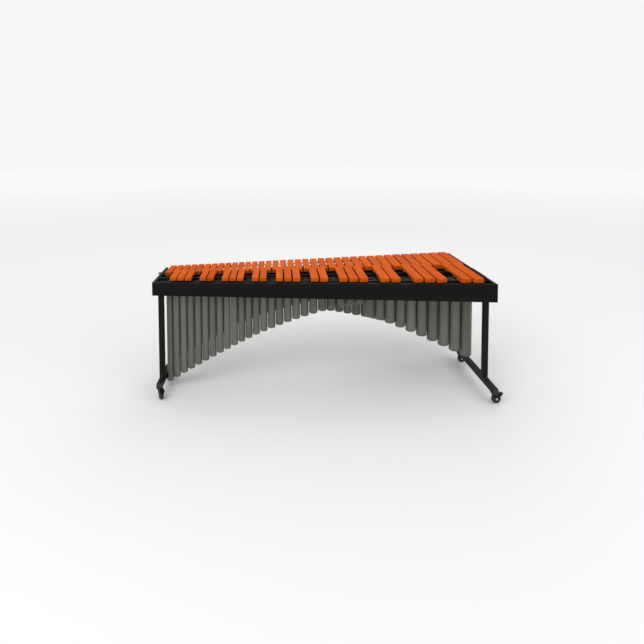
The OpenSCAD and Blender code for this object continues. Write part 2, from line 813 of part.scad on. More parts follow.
natural_bars_1();
natural_bars_2();
natural_bars_3();
natural_bars_4();
natural_bars_5();
accidental_bars_1();
accidental_bars_2();
accidental_bars_3();
accidental_bars_4();
accidental_bars_5();
natural_cord();
accidental_cord();
natural_cord_posts();
accidental_cord_posts();
cord_tie_peg();
accidental_front_rail();
accidental_rear_rail();
natural_front_rail();
natural_rear_rail();
front_apron();
treble_end_panel();
bass_end_panel();
cross_braces();
rail_bolts();
resonator_hangers();
front_treble_tubes();
front_treble_caps();
front_treble_strips();
front_bass_tubes();
front_bass_caps();
front_bass_strips();
rear_treble_tubes();
rear_treble_caps();
rear_treble_strips();
rear_bass_tubes();
rear_bass_caps();
rear_bass_strips();
bass_foot_bar();
bass_front_post();
bass_rear_post();
bass_front_inner_post();
bass_rear_inner_post();
bass_front_knob();
bass_rear_knob();
treble_foot_bar();
treble_post();
treble_inner_post();
treble_knob();
bass_front_fork();
bass_front_wheel();
bass_front_brake();
bass_rear_fork();
bass_rear_wheel();
bass_rear_brake();
treble_front_fork();
treble_front_wheel();
treble_front_brake();
treble_rear_fork();
treble_rear_wheel();
treble_rear_brake();
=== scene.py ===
"""Looks of the five-octave marimba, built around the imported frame. All sizes are in metres."""
import json
import math
import random

import bmesh
import bpy
from mathutils import Matrix, Vector


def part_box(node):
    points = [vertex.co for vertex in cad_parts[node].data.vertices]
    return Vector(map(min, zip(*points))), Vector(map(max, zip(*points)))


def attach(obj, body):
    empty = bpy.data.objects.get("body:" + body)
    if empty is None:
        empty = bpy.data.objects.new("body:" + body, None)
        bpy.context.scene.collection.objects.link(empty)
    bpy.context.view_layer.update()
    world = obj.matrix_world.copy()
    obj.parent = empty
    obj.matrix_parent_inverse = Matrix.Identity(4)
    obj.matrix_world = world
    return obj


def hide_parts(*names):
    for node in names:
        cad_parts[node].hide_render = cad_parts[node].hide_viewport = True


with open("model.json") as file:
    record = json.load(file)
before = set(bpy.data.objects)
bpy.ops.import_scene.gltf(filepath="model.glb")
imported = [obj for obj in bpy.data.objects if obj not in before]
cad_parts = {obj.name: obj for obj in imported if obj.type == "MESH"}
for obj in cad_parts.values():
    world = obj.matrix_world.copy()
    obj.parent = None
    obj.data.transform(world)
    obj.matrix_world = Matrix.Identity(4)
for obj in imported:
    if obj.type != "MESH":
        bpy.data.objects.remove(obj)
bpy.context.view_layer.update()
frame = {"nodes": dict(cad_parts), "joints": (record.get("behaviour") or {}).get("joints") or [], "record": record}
NODES = frame["nodes"]
BODY = {n: b for b, members in frame["record"]["behaviour"]["bodies"].items() for n in members}
JOINTS = {joint["name"]: joint for joint in frame["joints"]}
MM = 0.001
OCTAVES = 5
CASTERS = ("bass_front", "bass_rear", "treble_front", "treble_rear")
BANKS = ("front_treble", "front_bass", "rear_treble", "rear_bass")
UP = Vector((0, 0, 1))


# ---------------------------------------------------------------- node helpers

class Shader:
    """A material's node tree, with short calls for the nodes that these materials use."""

    def __init__(self, name, colour, roughness, metallic=0.0):
        self.mat = bpy.data.materials.new(name)
        self.mat.use_nodes = True
        self.tree = self.mat.node_tree
        self.bsdf = self.tree.nodes["Principled BSDF"]
        self.bsdf.inputs["Base Color"].default_value = (*colour, 1)
        self.bsdf.inputs["Roughness"].default_value = roughness
        self.bsdf.inputs["Metallic"].default_value = metallic
        self.mat.diffuse_color = (*colour, 1)

    def put(self, socket, value):
        """Sets a socket to a number or colour, or links it to another node's output."""
        if isinstance(value, bpy.types.NodeSocket):
            self.tree.links.new(value, socket)
        elif value is not None:
            socket.default_value = value

    def node(self, kind, inputs=None, **settings):
        made = self.tree.nodes.new(kind)
        for key, value in settings.items():
            setattr(made, key, value)
        for key, value in (inputs or {}).items():
            self.put(made.inputs[key], value)
        return made

    def coords(self, scale, attribute=None):
        """Coordinates in metres, times a scale along each axis."""
        if attribute:
            source = self.node("ShaderNodeAttribute", attribute_name=attribute).outputs["Vector"]
        else:
            source = self.node("ShaderNodeTexCoord").outputs["Object"]
        return self.node("ShaderNodeMapping", {"Vector": source, "Scale": scale}).outputs["Vector"]

    def noise(self, vector, scale=1.0, detail=3.0, rough=0.5):
        return self.node("ShaderNodeTexNoise", {
            "Vector": vector, "Scale": scale, "Detail": detail,
            "Roughness": rough}).outputs["Fac"]

    def ramp(self, factor, stops):
        """A colour ramp. Each stop is (place, colour or grey level)."""
        made = self.node("ShaderNodeValToRGB", {"Fac": factor})
        line = made.color_ramp
        while len(line.elements) < len(stops):
            line.elements.new(0.5)
        for element, (place, colour) in zip(line.elements, stops):
            element.position = place
            element.color = (*colour, 1) if isinstance(colour, tuple) else (colour,) * 3 + (1,)
        return made.outputs["Color"]

    def mix(self, factor, a, b, blend="MIX"):
        made = self.node("ShaderNodeMix", data_type="RGBA", blend_type=blend)
        for index, value in ((0, factor), (6, a), (7, b)):
            if isinstance(value, tuple):
                value = (*value, 1)
            self.put(made.inputs[index], value)
        return made.outputs[2]

    def maths(self, operation, a, b=None):
        return self.node("ShaderNodeMath", {0: a, 1: b}, operation=operation).outputs[0]

    def spread(self, value, low, high):
        """A value from 0 to 1, spread from low to high."""
        made = self.node("ShaderNodeMapRange", {"Value": value, "To Min": low, "To Max": high})
        return made.outputs[0]

    def attribute(self, name):
        return self.node("ShaderNodeAttribute", attribute_name=name).outputs["Fac"]

    def bump(self, height, distance, strength=1.0, below=None):
        return self.node("ShaderNodeBump", {
            "Height": height, "Distance": distance, "Strength": strength,
            "Normal": below}).outputs["Normal"]

    def finish(self, **sockets):
        """Links or sets the shader's own sockets, named with _ for each space."""
        for key, value in sockets.items():
            if isinstance(value, tuple):
                value = (*value, 1)
            self.put(self.bsdf.inputs[key.replace("_", " ")], value)
        return self.mat


# ---------------------------------------------------------------- materials

def bar_wood():
    """Padauk with an oiled finish: growth rings and streaks along each bar, pores and its own tone."""
    s = Shader("bar_wood", (0.62, 0.105, 0.004), 0.46)
    block = s.coords((1, 1, 1), "grain")
    stretched = s.coords((70, 3.2, 70), "grain")
    warp = s.noise(s.coords((9, 1.1, 9), "grain"), 1.0, 2.0)
    rings = s.node("ShaderNodeTexWave", {
        "Vector": stretched, "Scale": 0.42, "Distortion": 5.5, "Detail": 3.0,
        "Detail Scale": 0.9, "Detail Roughness": 0.6},
        wave_type="RINGS", rings_direction="Y", wave_profile="SAW").outputs["Fac"]
    streaks = s.noise(s.coords((330, 7, 330), "grain"), 1.0, 4.0, 0.6)
    pores = s.noise(s.coords((1500, 60, 1500), "grain"), 1.0, 2.0, 0.6)
    figure = s.mix(0.58, rings, streaks)
    wood = s.ramp(figure, [(0.12, (0.42, 0.054, 0.0015)), (0.40, (0.62, 0.094, 0.0022)),
                           (0.66, (0.74, 0.124, 0.0032)), (0.95, (0.85, 0.172, 0.0060))])
    cloud = s.ramp(warp, [(0.30, (0.86, 0.80, 0.74)), (0.70, (1.0, 1.0, 1.0))])
    wood = s.mix(1.0, wood, cloud, "MULTIPLY")
    tone = s.ramp(s.attribute("tone"), [(0.0, (0.82, 0.76, 0.68)), (0.5, (0.95, 0.94, 0.92)),
                                        (1.0, (1.0, 1.08, 1.16))])
    wood = s.mix(1.0, wood, tone, "MULTIPLY")
    pore_mask = s.ramp(pores, [(0.30, 1.0), (0.40, 0.0)])
    wood = s.mix(s.maths("MULTIPLY", pore_mask, 0.55), wood, (0.19, 0.022, 0.001))
    worn = s.maths("MULTIPLY", s.attribute("edge"), s.noise(block, 90.0, 3.0))
    wood = s.mix(s.maths("MULTIPLY", worn, 0.45), wood, (0.90, 0.26, 0.03))
    relief = s.bump(pores, 0.12 * MM, 0.5, s.bump(streaks, 0.10 * MM, 0.5))
    return s.finish(Base_Color=wood, Roughness=s.spread(streaks, 0.44, 0.60), Normal=relief,
                    Specular_IOR_Level=0.03)


def painted(name, colour, worn_to, roughness, grain, depth, specular):
    """Paint or lacquer: fine orange peel, a little dust and uneven gloss, and edges rubbed thin."""
    s = Shader(name, colour, roughness)
    place = s.coords((1, 1, 1))
    peel = s.noise(place, grain, 3.0)
    patches = s.noise(place, 6.0, 4.0, 0.6)
    fine = s.noise(place, 420.0, 2.0)
    base = s.mix(s.maths("MULTIPLY", patches, 0.6), colour, tuple(c * 1.55 + 0.002 for c in colour))
    wear = s.ramp(s.maths("MULTIPLY", s.attribute("edge"), s.noise(place, 55.0, 5.0, 0.7)),
                  [(0.44, 0.0), (0.60, 1.0)])
    base = s.mix(s.maths("MULTIPLY", wear, 0.55), base, worn_to)
    gloss = s.mix(0.35, s.ramp(patches, [(0.3, roughness - 0.07), (0.7, roughness + 0.09)]),
                  s.ramp(fine, [(0.3, roughness - 0.03), (0.7, roughness + 0.10)]))
    return s.finish(Base_Color=base, Roughness=gloss, Normal=s.bump(peel, depth, 0.6),
                    Specular_IOR_Level=specular)


def tube_paint():
    """Satin grey anodised tubes: drawn lines along the tube, soft clouds and pale rubbed rims."""
    s = Shader("tube_paint", (0.100, 0.097, 0.083), 0.45, 0.20)
    drawn = s.noise(s.coords((900, 900, 6)), 1.0, 3.0)
    clouds = s.noise(s.coords((9, 9, 3)), 1.0, 4.0, 0.6)
    speck = s.noise(s.coords((1, 1, 1)), 900.0, 2.0)
    base = s.ramp(clouds, [(0.25, (0.108, 0.104, 0.089)), (0.75, (0.152, 0.147, 0.126))])
    base = s.mix(s.maths("MULTIPLY", drawn, 0.28), base, (0.225, 0.218, 0.190))
    tone = s.ramp(s.attribute("tone"), [(0.0, 0.88), (1.0, 1.10)])
    base = s.mix(1.0, base, tone, "MULTIPLY")
    wear = s.maths("MULTIPLY", s.attribute("edge"), s.noise(s.coords((1, 1, 1)), 70.0, 4.0))
    base = s.mix(s.maths("MULTIPLY", wear, 0.5), base, (0.34, 0.33, 0.30))
    relief = s.bump(speck, 0.06 * MM, 0.5, s.bump(drawn, 0.05 * MM, 0.6))
    return s.finish(Base_Color=base, Roughness=s.spread(clouds, 0.38, 0.55), Normal=relief,
                    Specular_IOR_Level=0.30)


def steel(name, shade):
    """Plated steel of one shade: slightly blotched, with fine drawn lines."""
    s = Shader(name, (0.55 * shade, 0.56 * shade, 0.57 * shade), 0.34, 0.95)
    lines = s.noise(s.coords((1500, 90, 1500)), 1.0, 3.0)
    blotch = s.noise(s.coords((1, 1, 1)), 45.0, 4.0, 0.65)
    base = s.ramp(blotch, [(0.3, (0.40 * shade, 0.41 * shade, 0.42 * shade)),
                           (0.6, (0.56 * shade, 0.57 * shade, 0.58 * shade)),
                           (0.85, (0.63 * shade, 0.61 * shade, 0.55 * shade))])
    return s.finish(Base_Color=base, Roughness=s.spread(blotch, 0.26, 0.48),
                    Normal=s.bump(lines, 0.04 * MM, 0.6))


def rubber():
    """Grey-black tyre rubber with dust and scuffs on the tread."""
    s = Shader("rubber", (0.022, 0.022, 0.023), 0.72)
    dust = s.noise(s.coords((1, 1, 1)), 60.0, 5.0, 0.7)
    base = s.ramp(dust, [(0.35, (0.018, 0.018, 0.019)), (0.62, (0.030, 0.030, 0.030)),
                         (0.85, (0.095, 0.090, 0.082))])
    pits = s.noise(s.coords((1, 1, 1)), 1400.0, 2.0)
    return s.finish(Base_Color=base, Roughness=s.spread(dust, 0.62, 0.88),
                    Normal=s.bump(pits, 0.08 * MM, 0.7), Specular_IOR_Level=0.35)


def moulded(name, colour):
    """Moulded plastic with a fine grained skin, and soft patches that are a little paler and rougher."""
    s = Shader(name, colour, 0.46)
    cells = s.node("ShaderNodeTexVoronoi", {"Vector": s.coords((1, 1, 1)), "Scale": 1500.0})
    grain = cells.outputs["Distance"]
    smudge = s.noise(s.coords((1, 1, 1)), 40.0, 4.0)
    base = s.mix(smudge, colour, tuple(c * 2.0 + 0.004 for c in colour))
    return s.finish(Base_Color=base, Roughness=s.spread(smudge, 0.36, 0.58),
                    Normal=s.bump(grain, 0.08 * MM, 0.5))


def cord_braid():
    """Dark braided cord with a paler tracer: two sets of strands that cross as they go round it, with painted
    shade between them.
    """
    s = Shader("cord_braid", (0.030, 0.033, 0.036), 0.8)
    turns = s.attribute("cord_turn")
    length = s.attribute("cord_length")
    waves = []
    for side in (1, -1):
        phase = s.maths("ADD", s.maths("MULTIPLY", turns, side * 4 * math.tau),
                        s.maths("MULTIPLY", length, 900.0))
        waves.append(s.maths("SINE", phase))
    weave = s.spread(s.maths("MAXIMUM", *waves), 0.0, 1.0)
    tracer = s.ramp(s.maths("MULTIPLY", *waves), [(0.62, 0.0), (0.80, 1.0)])
    soil = s.noise(s.coords((1, 1, 1)), 25.0, 3.0)
    # The colour follows the strands' height: darker down between them and paler on their crowns, painted shade and
    # light on the weave
    base = s.ramp(weave, [(0.0, (0.006, 0.006, 0.007)), (0.5, (0.026, 0.029, 0.032)),
                          (1.0, (0.050, 0.055, 0.060))])
    base = s.mix(s.maths("MULTIPLY", tracer, 0.7), base, (0.22, 0.21, 0.18))
    base = s.mix(s.maths("MULTIPLY", soil, 0.25), base, (0.075, 0.070, 0.062))
    return s.finish(Base_Color=base, Roughness=s.spread(soil, 0.7, 0.9),
                    Normal=s.bump(weave, 0.4 * MM, 0.8), Specular_IOR_Level=0.25)


MATS = {
    "bar_wood": bar_wood(),
    "frame_black": painted("frame_black", (0.0048, 0.0048, 0.0043), (0.060, 0.050, 0.042),
                           roughness=0.42, grain=130.0, depth=0.12 * MM, specular=0.07),
    "rail_black": painted("rail_black", (0.0060, 0.0082, 0.0096), (0.060, 0.055, 0.050),
                          roughness=0.58, grain=90.0, depth=0.15 * MM, specular=0.08),
    "stand_black": painted("stand_black", (0.0052, 0.0051, 0.0046), (0.052, 0.052, 0.050),
                           roughness=0.46, grain=620.0, depth=0.14 * MM, specular=0.12),
    "tube_paint": tube_paint(),
    "steel": steel("steel", 1.0),
    "dark_steel": steel("dark_steel", 0.13),
    "rubber": rubber(),
    "knob": moulded("knob", (0.007, 0.007, 0.007)),
    "hub": moulded("hub", (0.050, 0.050, 0.052)),
    "cord": cord_braid(),
}


# ---------------------------------------------------------------- mesh helpers

SHARPEST_SMOOTH = math.radians(38)
SAME_PLACE = 2e-6


def welded(node):
    """A CAD node's mesh with its split corners joined and its flat faces whole."""
    bm = bmesh.new()
    bm.from_mesh(NODES[node].data)
    bmesh.ops.remove_doubles(bm, verts=bm.verts, dist=SAME_PLACE)
    bmesh.ops.dissolve_limit(bm, angle_limit=math.radians(0.4), verts=bm.verts, edges=bm.edges)
    return bm


def islands(node):
    """The lowest and highest corner of each separate solid in a CAD node, from -X to +X."""
    bm = bmesh.new()
    bm.from_mesh(NODES[node].data)
    bmesh.ops.remove_doubles(bm, verts=bm.verts, dist=SAME_PLACE)
    boxes = [box_of(group) for group in vertex_groups(bm)]
    bm.free()
    return sorted(boxes, key=lambda box: box[0].x + box[1].x)


def vertex_groups(bm):
    """The vertices of each separate piece of a mesh."""
    seen, groups = set(), []
    for first in bm.verts:
        if first in seen:
            continue
        seen.add(first)
        group, waiting = [], [first]
        while waiting:
            v = waiting.pop()
            group.append(v)
            for e in v.link_edges:
                other = e.other_vert(v)
                if other not in seen:
                    seen.add(other)
                    waiting.append(other)
        groups.append(group)
    return groups


def box_of(verts):
    return (Vector([min(v.co[i] for v in verts) for i in range(3)]),
            Vector([max(v.co[i] for v in verts) for i in range(3)]))


def round_edges(bm, radius, segments=3, shortest=3 * MM, sharp=30):
    """Rounds the sharp edges, and marks the rounded faces in the attribute "edge"."""
    mark = bm.faces.layers.float.get("edge") or bm.faces.layers.float.new("edge")
    edges = [e for e in bm.edges if len(e.link_faces) == 2 and e.calc_length() > shortest
             and e.calc_face_angle() > math.radians(sharp)]
    made = bmesh.ops.bevel(bm, geom=edges, offset=radius, offset_type="OFFSET", segments=segments,
                           profile=0.5, affect="EDGES", clamp_overlap=True)
    for face in made["faces"]:
        face[mark] = 1.0


def prism(bm, outline, place, start, end):
    """A solid with the outline (u, v) from one end to the other; place(u, v, w) gives its points."""
    rings = [[bm.verts.new(place(u, v, w)) for u, v in outline] for w in (start, end)]
    bm.faces.new(rings[0])
    bm.faces.new(rings[1][::-1])
    for i in range(len(outline)):
        j = (i + 1) % len(outline)
        bm.faces.new((rings[0][j], rings[0][i], rings[1][i], rings[1][j]))


def basis(axis):
    """Two directions square to an axis, and the axis."""
    axis = Vector(axis).normalized()
    side = Vector((1, 0, 0)) if abs(axis.x) < 0.9 else Vector((0, 1, 0))
    u = (side - axis * side.dot(axis)).normalized()
    return u, axis.cross(u), axis


def lathe(bm, profile, centre, axis=UP, segments=48, lobe=lambda angle: 1.0):
    """A turned solid: profile is (radius, place along the axis), and radius 0 closes it."""
    u, v, w = basis(axis)
    rings = []
    for radius, along in profile:
        foot = centre + w * along
        if radius <= 0:
            rings.append([bm.verts.new(foot)])
            continue
        angles = [math.tau * i / segments for i in range(segments)]
        rings.append([bm.verts.new(foot + (u * math.cos(a) + v * math.sin(a)) * radius * lobe(a))
                      for a in angles])
    for low, high in zip(rings, rings[1:]):
        for i in range(segments):
            j = (i + 1) % segments
            quad = [low[i % len(low)], low[j % len(low)], high[j % len(high)], high[i % len(high)]]
            bm.faces.new(list(dict.fromkeys(quad)))
    return [v for ring in rings for v in ring]


def arc(cx, cy, radius, start, end, steps=5):
    """Points of a profile round a corner, by angle in degrees."""
    turns = [math.radians(start + (end - start) * i / steps) for i in range(steps + 1)]
    return [(cx + radius * math.cos(t), cy + radius * math.sin(t)) for t in turns]


def mesh_object(name, bm):
    """Turns a finished mesh into an object in the scene."""
    mesh = bpy.data.meshes.new(name)
    bm.to_mesh(mesh)
    bm.free()
    obj = bpy.data.objects.new(name, mesh)
    bpy.context.scene.collection.objects.link(obj)
    return obj


def piece(name, bm, material, like, stands_for=(), flat_faces=True):
    """Makes a mesh into a piece that rides with the CAD node it is like."""
    bmesh.ops.recalc_face_normals(bm, faces=bm.faces)
    obj = mesh_object(name, bm)
    obj.data.materials.append(MATS[material])
    obj.data.shade_smooth()
    obj.data.set_sharp_from_angle(angle=SHARPEST_SMOOTH)
    if flat_faces:
        even = obj.modifiers.new("even_normals", "WEIGHTED_NORMAL")
        even.keep_sharp = True
    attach(obj, BODY[like])
    if stands_for:
        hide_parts(*stands_for)


def rounded(node, radius, material, shortest=3 * MM):
    """A CAD node's own shape with its edges rounded, in its place."""
    bm = welded(node)
    round_edges(bm, radius, shortest=shortest)
    piece(node + "_shape", bm, material, node, (node,))


def reach(node, centre, axis):
    """How far a CAD node goes from a centre, along an axis."""
    return max(abs((v.co - centre).dot(axis)) for v in NODES[node].data.vertices)


# ---------------------------------------------------------------- bars and cords

# The arch under a bar, as shares of the bar's thickness and length
ARCH_DEPTH = 0.42
ARCH_CHORD = 0.48
CORD_HOLE_R = 3.25 * MM
CORD_R = 2 * MM
# Radius of the CAD cord's own corners
CORNER_R = 3 * MM


def bar_outline(lo, hi, steps=18):
    """The side of a bar: square ends, and an arch hollowed out of its underside."""
    depth = (hi.z - lo.z) * ARCH_DEPTH
    chord = (hi.y - lo.y) * ARCH_CHORD
    radius = (chord * chord / 4 + depth * depth) / (2 * depth)
    middle = (lo.y + hi.y) / 2
    half = math.asin(chord / 2 / radius)
    points = [(hi.y, lo.z), (hi.y, hi.z), (lo.y, hi.z), (lo.y, lo.z)]
    for i in range(steps + 1):
        turn = -half + 2 * half * i / steps
        points.append((middle + radius * math.sin(turn),
                       lo.z + depth - radius + radius * math.cos(turn)))
    return points


def drill(runs, z, x0, x1):
    """A cutter with a long rod for each cord run."""
    bm = bmesh.new()
    for start, end in runs:
        a, b = Vector((x0, start, z)), Vector((x1, end, z))
        lathe(bm, [(0, 0), (CORD_HOLE_R, 0), (CORD_HOLE_R, (b - a).length), (0, (b - a).length)],
              a, b - a, 20)
    bmesh.ops.recalc_face_normals(bm, faces=bm.faces)
    return mesh_object("drill", bm)


def cut(bm, cutter):
    """The mesh with the cutter's rods taken out of it."""
    blank = mesh_object("blank", bm)
    change = blank.modifiers.new("holes", "BOOLEAN")
    change.operation = "DIFFERENCE"
    change.solver = "EXACT"
    change.object = cutter
    result = bmesh.new()
    result.from_object(blank, bpy.context.evaluated_depsgraph_get())
    bpy.data.objects.remove(blank)
    return result


def give_grain(bm, rng):
    """Gives each bar its own block of wood and its own tone."""
    grain = bm.verts.layers.float_vector.new("grain")
    tone = bm.verts.layers.float.new("tone")
    for group in sorted(vertex_groups(bm), key=lambda g: min(v.co.x for v in g)):
        lo, hi = box_of(group)
        shift = Vector((rng.uniform(-3, 3), rng.uniform(-3, 3), rng.uniform(-3, 3)))
        lean = Matrix.Rotation(rng.uniform(-0.03, 0.03), 3, "Z")
        shade = min(1.0, max(0.0, rng.gauss(0.5, 0.24)))
        centre = (lo + hi) / 2
        for v in group:
            v[grain] = lean @ (v.co - centre) + shift
            v[tone] = shade


def bars(node, cutter, rng):
    """The bars of one octave, shaped from the CAD node's own bars."""
    bm = bmesh.new()
    for lo, hi in islands(node):
        prism(bm, bar_outline(lo, hi), lambda u, v, w: (w, u, v), lo.x, hi.x)
    bmesh.ops.recalc_face_normals(bm, faces=bm.faces)
    round_edges(bm, 1.8 * MM, shortest=2 * MM, sharp=50)
    bm = cut(bm, cutter)
    give_grain(bm, rng)
    piece(node + "_wood", bm, "bar_wood", node, (node,))


def cord_corners(node):
    """The four corners of a cord's loop, and its height, from the ends of the CAD cord."""
    data = [v.co for v in NODES[node].data.vertices]
    turn = max(c.x for c in data)
    near_turn = 7 * MM
    heights = [c.z for c in data if c.x > turn - 1 * MM]
    z = sum(heights) / len(heights)
    corners = []
    for side in (-1, 1):
        at_turn = [c for c in data if abs(side * c.x - turn) < near_turn]
        low, high = min(c.y for c in at_turn), max(c.y for c in at_turn)
        corners.append((side * (turn - CORNER_R), low + CORNER_R, high - CORNER_R))
    return corners, z


def skin(bm, rings, closed):
    """Faces between neighbouring rings, and over both ends of an open row of them."""
    pairs = list(zip(rings, rings[1:])) + ([(rings[-1], rings[0])] if closed else [])
    for low, high in pairs:
        for k in range(len(low)):
            m = (k + 1) % len(low)
            bm.faces.new((low[k], low[m], high[m], high[k]))
    if not closed:
        bm.faces.new(rings[0][::-1])
        bm.faces.new(rings[-1])


def sweep(bm, path, radius, closed, sides=10):
    """A round cord along a path, with its length and turn kept in attributes."""
    length_of = bm.verts.layers.float.get("cord_length") or bm.verts.layers.float.new("cord_length")
    turn_of = bm.verts.layers.float.get("cord_turn") or bm.verts.layers.float.new("cord_turn")
    rings, run = [], 0.0
    count = len(path)
    normal = UP
    for i, point in enumerate(path):
        after = path[(i + 1) % count] if closed or i + 1 < count else point
        before = path[i - 1] if closed or i else point
        along = (after - before).normalized()
        normal = (normal - along * normal.dot(along)).normalized()
        across = along.cross(normal)
        ring = []
        for k in range(sides):
            a = math.tau * k / sides
            v = bm.verts.new(point + (normal * math.cos(a) + across * math.sin(a)) * radius)
            v[length_of] = run
            v[turn_of] = abs(k / sides * 2 - 1)
            ring.append(v)
        rings.append(ring)
        run += (after - point).length
    skin(bm, rings, closed)


def fill_path(points, step):
    """The path with points added, so that no stretch is longer than the step."""
    path = []
    for a, b in zip(points, points[1:]):
        count = max(1, math.ceil((b - a).length / step))
        path += [a.lerp(b, i / count) for i in range(count)]
    return path + [points[-1]]


def cord_loop(corners, z, bend=5 * MM):
    """The closed way of a cord: two runs, with a rounded corner at each end of each."""
    (x0, front0, rear0), (x1, front1, rear1) = corners
    turns = [Vector((x0, front0, z)), Vector((x1, front1, z)), Vector((x1, rear1, z)),
             Vector((x0, rear0, z))]
    points, steps = [], 6
    for i, corner in enumerate(turns):
        into = (turns[i - 1] - corner).normalized() * bend
        out = (turns[(i + 1) % 4] - corner).normalized() * bend
        for k in range(steps + 1):
            t = k / steps
            points.append(corner + into * (1 - t) ** 2 + out * t ** 2)
    path = fill_path(points + [points[0]], 4 * MM)
    return path[:-1]


def peg_tail(start, peg):
    """The way of a cord's tail: from the loop to the peg, and 4.6 turns round it."""
    turns, steps, spacing = 4.6, 16, 3.7 * MM
    lo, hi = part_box(peg)
    middle = (lo + hi) / 2
    around = (hi.z - lo.z) / 4 + 2.1 * MM
    points = [start, Vector((hi.x + 1 * MM, middle.y, middle.z + 2 * MM))]
    for i in range(int(turns * steps) + 1):
        a = math.tau * i / steps
        x = hi.x - 2.2 * MM - spacing * i / steps
        points.append(Vector((x, middle.y + around * math.sin(a), middle.z + around * math.cos(a))))
    return fill_path(points, 3 * MM)


def cord(node, tail_to=None):
    """The braided cord of one row of bars, with a tail to its peg if it has one."""
    corners, z = cord_corners(node)
    bm = bmesh.new()
    sweep(bm, cord_loop(corners, z), CORD_R, True)
    if tail_to:
        start = Vector((corners[0][0], corners[0][1], z))
        sweep(bm, peg_tail(start, tail_to), CORD_R - 0.1 * MM, False)
    piece(node + "_braid", bm, "cord", node, (node,), flat_faces=False)


def build_bars():
    rng = random.Random(5)
    for row in ("natural", "accidental"):
        corners, z = cord_corners(row + "_cord")
        runs = [(corners[0][k], corners[1][k]) for k in (1, 2)]
        cutter = drill(runs, z, corners[0][0], corners[1][0])
        for octave in range(1, OCTAVES + 1):
            bars(f"{row}_bars_{octave}", cutter, rng)
        bpy.data.objects.remove(cutter)
    cord("accidental_cord")
    cord("natural_cord", "cord_tie_peg")


# ---------------------------------------------------------------- resonators

CAP_LIP = 16 * MM
WALL = 2 * MM
STRIP_TONE = 0.9


def tube(bm, lo, hi):
    """An open tube with a rolled rim at the top and a bead above its stopper."""
    r = (hi.x - lo.x) / 2
    h = hi.z - lo.z
    bead = 0.5 * MM
    outside = [(r - WALL, 0.0), (r - 0.4 * MM, 0.0), (r, 0.4 * MM), (r, 9 * MM),
               (r + bead * 0.7, 10.2 * MM), (r + bead, 12 * MM), (r + bead * 0.7, 13.8 * MM),
               (r, 15 * MM), (r, h / 2), (r, h - 6 * MM), (r + 0.3 * MM, h - 4.6 * MM)]
    rim = arc(r - 1.1 * MM, h - 1.6 * MM, 1.6 * MM, -30, 200, 8)
    inside = [(r - WALL, h - 4 * MM), (r - WALL, h / 2), (r - WALL, 0.0)]
    foot = Vector(((lo.x + hi.x) / 2, (lo.y + hi.y) / 2, lo.z))
    return lathe(bm, outside + rim + inside, foot, segments=56)


def stopper(bm, lo, hi):
    """A stopper with a rounded rim, a shallow dish and a rivet in the middle of it."""
    r = (hi.x - lo.x) / 2
    edge = 8 * MM
    profile = [(0, 1.6 * MM), (r * 0.45, 1.4 * MM), (r * 0.60, 0.5 * MM), (r * 0.66, 0.0)]
    profile += [(r - edge, 0.0)] + arc(r - edge, edge, edge, -72, 0, 6)
    profile += [(r, CAP_LIP - 1.0 * MM), (r - 0.6 * MM, CAP_LIP - 0.3 * MM),
                (r - WALL - 0.05 * MM, CAP_LIP - 0.2 * MM)]
    profile += [(r - WALL - 0.05 * MM, hi.z - lo.z - 1 * MM), (r - WALL - 1 * MM, hi.z - lo.z),
                (0, hi.z - lo.z)]
    foot = Vector(((lo.x + hi.x) / 2, (lo.y + hi.y) / 2, lo.z))
    return lathe(bm, profile, foot, segments=56)


def toned(bm, solid, boxes, rng):
    """Turns one solid for each box, each with a tone of its own."""
    tone = bm.verts.layers.float.new("tone")
    for lo, hi in boxes:
        level = rng.random()
        for v in solid(bm, lo, hi):
            v[tone] = level


def strip_shape(bank):
    """The long strips of one bank with rounded edges."""
    bm = welded(bank + "_strips")
    round_edges(bm, 0.7 * MM, segments=2, shortest=2 * MM)
    tone = bm.verts.layers.float.new("tone")
    for v in bm.verts:
        v[tone] = STRIP_TONE
    piece(bank + "_strips_shape", bm, "tube_paint", bank + "_strips", (bank + "_strips",))


def rivet(bm, place, outward):
    lathe(bm, [(4.2 * MM, -0.4 * MM), (4.2 * MM, 0.5 * MM), (3.8 * MM, 1.1 * MM),
               (2.9 * MM, 1.7 * MM), (1.5 * MM, 2.0 * MM), (1.2 * MM, 1.7 * MM), (0, 1.6 * MM)],
          place, outward, 18)


def rivets(bank, boxes):
    """One rivet through each strip into each tube."""
    bm = bmesh.new()
    lo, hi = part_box(bank + "_strips")
    z = (lo.z + hi.z) / 2
    for low, high in boxes:
        x, y, r = (low.x + high.x) / 2, (low.y + high.y) / 2, (high.x - low.x) / 2
        for side in (-1, 1):
            rivet(bm, Vector((x, y + side * (r + 3.3 * MM), z)), Vector((0, side, 0)))
    piece(bank + "_rivets", bm, "steel", bank + "_strips", flat_faces=False)


def build_banks():
    rng = random.Random(11)
    for bank in BANKS:
        boxes = islands(bank + "_tubes")
        for kind, solid in (("tubes", tube), ("caps", stopper)):
            bm = bmesh.new()
            toned(bm, solid, islands(f"{bank}_{kind}"), rng)
            piece(f"{bank}_{kind}_shape", bm, "tube_paint", f"{bank}_{kind}",
                  (f"{bank}_{kind}",), flat_faces=False)
        strip_shape(bank)
        rivets(bank, boxes)


# ---------------------------------------------------------------- frame and stands

# A clamp knob's grip, and the collar between it and the post
GRIP_L = 13 * MM
COLLAR_L = 8 * MM
# The screw heads' washers
WASHER_T = 1.1 * MM


